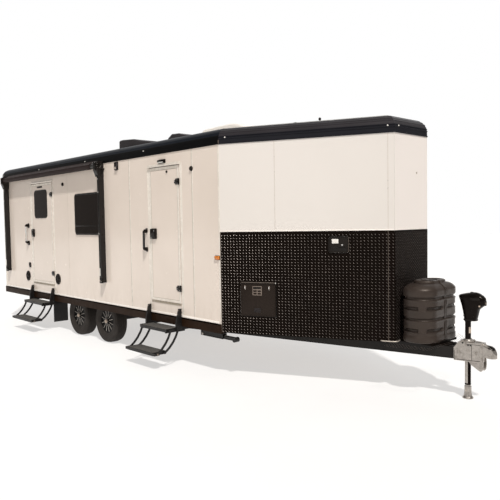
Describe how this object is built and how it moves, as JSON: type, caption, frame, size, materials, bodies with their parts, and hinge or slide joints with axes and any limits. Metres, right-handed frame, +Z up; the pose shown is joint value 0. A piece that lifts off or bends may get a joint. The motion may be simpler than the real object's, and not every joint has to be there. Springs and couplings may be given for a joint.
{
  "type": "enclosed snowmobile trailer",
  "caption": "Enclosed wedge-nose snowmobile trailer with entry doors, rear ramp, wheels, tongue jack, fold-out steps, awning and roof units.",
  "frame": {"origin": "on the ground, under the middle of the whole object's box, standing on its wheels and jack", "axes": "+X forward to the hitch, +Y to the driver's side, +Z up"},
  "size_m": [9.369, 2.877, 3.285],
  "materials": {
    "white_panel": "gloss off-white enamel",
    "dark_trim": "gloss near-black enamel",
    "bronze_rail": "dark bronze satin",
    "tread_plate": "black coated diamond plate",
    "black_plastic": "moulded, fine grain",
    "black_steel": "satin black powder coat",
    "white_plastic": "moulded",
    "roof_skin": "mill finish sheet",
    "zinc_steel": "zinc plated",
    "cover_plastic": "thick moulded, grained",
    "plywood": "sealed plywood",
    "tyre_rubber": "worn road tyre",
    "black_alloy": "gloss black with machined edges",
    "tinted_glass": "dark tint",
    "rubber_flap": "ribbed sheet",
    "latch_metal": "bright plated",
    "vinyl_roll": "rolled awning cover"
  },
  "bodies": {
    "trailer": {"right_side_wall": "white_panel", "left_side_wall": "white_panel", "right_nose_wall": "white_panel", "left_nose_wall": "white_panel", "front_wall": "white_panel", "nose_guard_plate": "tread_plate", "rear_door_frame": "bronze_rail", "roof_trim": "dark_trim", "roof_panel": "roof_skin", "rear_air_conditioner": "black_plastic", "front_air_conditioner": "white_plastic", "roof_vent_hood": "black_plastic", "floor_deck": "plywood", "lower_rails": "bronze_rail", "frame_rails": "black_steel", "cross_members": "black_steel", "tongue_beams": "black_steel", "tongue_deck": "black_steel", "propane_cover": "cover_plastic", "coupler": "zinc_steel", "jack_post": "black_plastic", "axles": "black_steel", "mud_flaps": "rubber_flap", "stabiliser_housings": "black_steel", "right_window": "tinted_glass", "left_windows": "tinted_glass", "awning_roller": "vinyl_roll", "awning_arms": "black_steel", "grab_handles": "black_steel", "upper_steps": "black_steel"},
    "front_right_wheel": {"front_right_tyre": "tyre_rubber", "front_right_rim": "black_alloy"},
    "front_left_wheel": {"front_left_tyre": "tyre_rubber", "front_left_rim": "black_alloy"},
    "rear_right_wheel": {"rear_right_tyre": "tyre_rubber", "rear_right_rim": "black_alloy"},
    "rear_left_wheel": {"rear_left_tyre": "tyre_rubber", "rear_left_rim": "black_alloy"},
    "front_entry_door": {"front_entry_door": "white_panel", "front_door_hardware": "black_plastic"},
    "rear_entry_door": {"rear_entry_door": "white_panel", "rear_door_hardware": "black_plastic", "rear_door_window": "tinted_glass"},
    "ramp_door": {"ramp_door": "white_panel"},
    "storage_hatch": {"storage_hatch": "tread_plate"},
    "cable_hatch": {"cable_hatch": "white_plastic"},
    "jack_leg": {"jack_leg": "zinc_steel"},
    "right_stabiliser_leg": {"right_stabiliser_leg": "zinc_steel"},
    "left_stabiliser_leg": {"left_stabiliser_leg": "zinc_steel"},
    "front_step_outer_arms": {"front_step_outer_arms": "black_steel"},
    "front_step_inner_arms": {"front_step_inner_arms": "black_steel"},
    "front_lower_step": {"front_lower_step": "black_steel"},
    "rear_step_outer_arms": {"rear_step_outer_arms": "black_steel"},
    "rear_step_inner_arms": {"rear_step_inner_arms": "black_steel"},
    "rear_lower_step": {"rear_lower_step": "black_steel"}
  },
  "joints": [
    {"name": "front_right_wheel_spin", "type": "hinge", "parent": "trailer", "child": "front_right_wheel", "pos_m": [-0.8835, -0.8405, 0.333], "axis": [0, 1, 0], "continuous": true},
    {"name": "front_left_wheel_spin", "type": "hinge", "parent": "trailer", "child": "front_left_wheel", "pos_m": [-0.8835, 1.2635, 0.333], "axis": [0, 1, 0], "continuous": true},
    {"name": "rear_right_wheel_spin", "type": "hinge", "parent": "trailer", "child": "rear_right_wheel", "pos_m": [-1.7835, -0.8405, 0.333], "axis": [0, 1, 0], "continuous": true},
    {"name": "rear_left_wheel_spin", "type": "hinge", "parent": "trailer", "child": "rear_left_wheel", "pos_m": [-1.7835, 1.2635, 0.333], "axis": [0, 1, 0], "continuous": true},
    {"name": "front_entry_door_hinge", "type": "hinge", "parent": "trailer", "child": "front_entry_door", "pos_m": [1.1845, -1.0215, 1.69], "axis": [0, 0, 1], "range_deg": [0, 175]},
    {"name": "rear_entry_door_hinge", "type": "hinge", "parent": "trailer", "child": "rear_entry_door", "pos_m": [-2.4625, -1.0215, 1.69], "axis": [0, 0, 1], "range_deg": [0, 175]},
    {"name": "ramp_door_hinge", "type": "hinge", "parent": "trailer", "child": "ramp_door", "pos_m": [-4.6715, 0.2115, 0.776], "axis": [0, -1, 0], "range_deg": [0, 113]},
    {"name": "storage_hatch_hinge", "type": "hinge", "parent": "trailer", "child": "storage_hatch", "pos_m": [2.37661, -0.81426, 1.139], "axis": [-0.8953, -0.4454, 0], "range_deg": [0, 95]},
    {"name": "cable_hatch_hinge", "type": "hinge", "parent": "trailer", "child": "cable_hatch", "pos_m": [3.11929, -0.44143, 1.58], "axis": [0, 0, -1], "range_deg": [0, 120]},
    {"name": "jack_leg_slide", "type": "slide", "parent": "trailer", "child": "jack_leg", "axis": [0, 0, 1], "range_m": [0, 0.12]},
    {"name": "right_stabiliser_pivot", "type": "hinge", "parent": "trailer", "child": "right_stabiliser_leg", "pos_m": [1.5055, -0.9075, 0.455], "axis": [0, 1, 0], "range_deg": [0, 45]},
    {"name": "left_stabiliser_pivot", "type": "hinge", "parent": "trailer", "child": "left_stabiliser_leg", "pos_m": [1.5055, 1.3305, 0.455], "axis": [0, 1, 0], "range_deg": [0, 45]},
    {"name": "front_step_fold", "type": "hinge", "parent": "trailer", "child": "front_step_outer_arms", "pos_m": [0.8205, -1.1735, 0.471], "axis": [-1, 0, 0], "range_deg": [0, 105]},
    {"name": "front_step_inner_pivot", "type": "hinge", "parent": "trailer", "child": "front_step_inner_arms", "pos_m": [0.8205, -1.0435, 0.471], "axis": [-1, 0, 0], "range_deg": [0, 105]},
    {"name": "front_lower_step_pivot", "type": "hinge", "parent": "front_step_outer_arms", "child": "front_lower_step", "pos_m": [0.8205, -1.3885, 0.203], "axis": [-1, 0, 0], "range_deg": [-105, 0]},
    {"name": "rear_step_fold", "type": "hinge", "parent": "trailer", "child": "rear_step_outer_arms", "pos_m": [-2.9145, -1.1735, 0.471], "axis": [-1, 0, 0], "range_deg": [0, 105]},
    {"name": "rear_step_inner_pivot", "type": "hinge", "parent": "trailer", "child": "rear_step_inner_arms", "pos_m": [-2.9145, -1.0435, 0.471], "axis": [-1, 0, 0], "range_deg": [0, 105]},
    {"name": "rear_lower_step_pivot", "type": "hinge", "parent": "rear_step_outer_arms", "child": "rear_lower_step", "pos_m": [-2.9145, -1.3885, 0.203], "axis": [-1, 0, 0], "range_deg": [-105, 0]}
  ],
  "couplings": [
    {"joint": "front_step_inner_pivot", "follows": "front_step_fold", "ratio": 1},
    {"joint": "front_lower_step_pivot", "follows": "front_step_fold", "ratio": -1},
    {"joint": "rear_step_inner_pivot", "follows": "rear_step_fold", "ratio": 1},
    {"joint": "rear_lower_step_pivot", "follows": "rear_step_fold", "ratio": -1}
  ]
}
